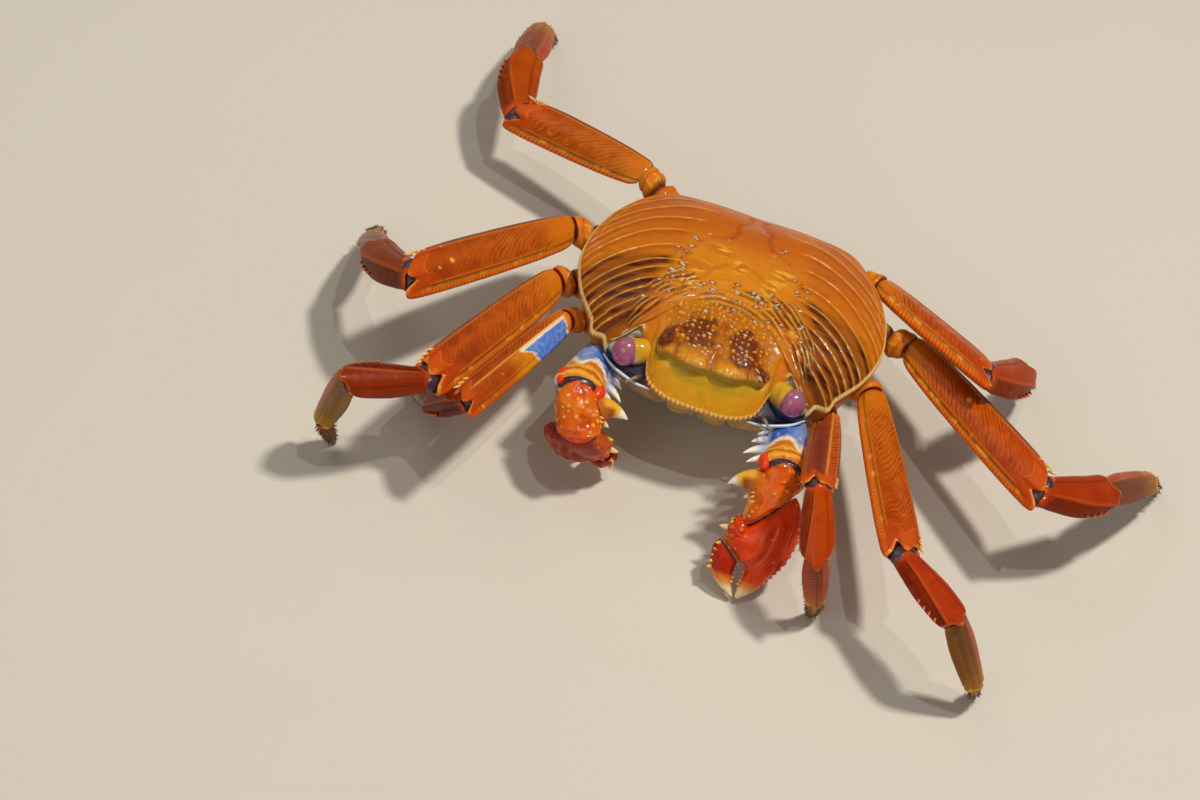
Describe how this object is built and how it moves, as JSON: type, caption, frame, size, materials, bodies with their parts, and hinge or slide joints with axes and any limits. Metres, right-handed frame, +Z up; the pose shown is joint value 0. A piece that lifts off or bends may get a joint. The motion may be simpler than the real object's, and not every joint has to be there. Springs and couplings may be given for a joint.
{
  "type": "shore crab",
  "caption": "Life-size still model of a shore crab standing on spread walking legs, small claws held in front, with a domed shell, stalked eyes and folded tail.",
  "frame": {"origin": "on the floor under the middle of the box round the whole crab, legs included", "axes": "the crab faces -Y, its left side is at +X, +Z is up from the floor that its feet stand on"},
  "size_m": [0.2178, 0.1854, 0.0441],
  "materials": {
    "carapace": "wet, glossy shell",
    "leg": "glossy shell",
    "claw": "glossy shell",
    "underside": "satin shell",
    "eye": "wet, glossy",
    "feeler": "satin"
  },
  "bodies": {
    "root": {"antenna_l": "feeler", "antenna_r": "feeler", "carapace": "carapace", "claw_l_carpus": "claw", "claw_l_finger": "claw", "claw_l_hip": "claw", "claw_l_merus": "claw", "claw_l_palm": "claw", "claw_r_carpus": "claw", "claw_r_finger": "claw", "claw_r_hip": "claw", "claw_r_merus": "claw", "claw_r_palm": "claw", "eye_l": "eye", "eye_r": "eye", "leg_l1_carpus": "leg", "leg_l1_dactylus": "leg", "leg_l1_hip": "leg", "leg_l1_merus": "leg", "leg_l1_propodus": "leg", "leg_l2_carpus": "leg", "leg_l2_dactylus": "leg", "leg_l2_hip": "leg", "leg_l2_merus": "leg", "leg_l2_propodus": "leg", "leg_l3_carpus": "leg", "leg_l3_dactylus": "leg", "leg_l3_hip": "leg", "leg_l3_merus": "leg", "leg_l3_propodus": "leg", "leg_l4_carpus": "leg", "leg_l4_dactylus": "leg", "leg_l4_hip": "leg", "leg_l4_merus": "leg", "leg_l4_propodus": "leg", "leg_r1_carpus": "leg", "leg_r1_dactylus": "leg", "leg_r1_hip": "leg", "leg_r1_merus": "leg", "leg_r1_propodus": "leg", "leg_r2_carpus": "leg", "leg_r2_dactylus": "leg", "leg_r2_hip": "leg", "leg_r2_merus": "leg", "leg_r2_propodus": "leg", "leg_r3_carpus": "leg", "leg_r3_dactylus": "leg", "leg_r3_hip": "leg", "leg_r3_merus": "leg", "leg_r3_propodus": "leg", "leg_r4_carpus": "leg", "leg_r4_dactylus": "leg", "leg_r4_hip": "leg", "leg_r4_merus": "leg", "leg_r4_propodus": "leg", "maxilliped_l": "underside", "maxilliped_r": "underside", "pleon": "underside", "thorax": "underside"}
  },
  "joints": []
}
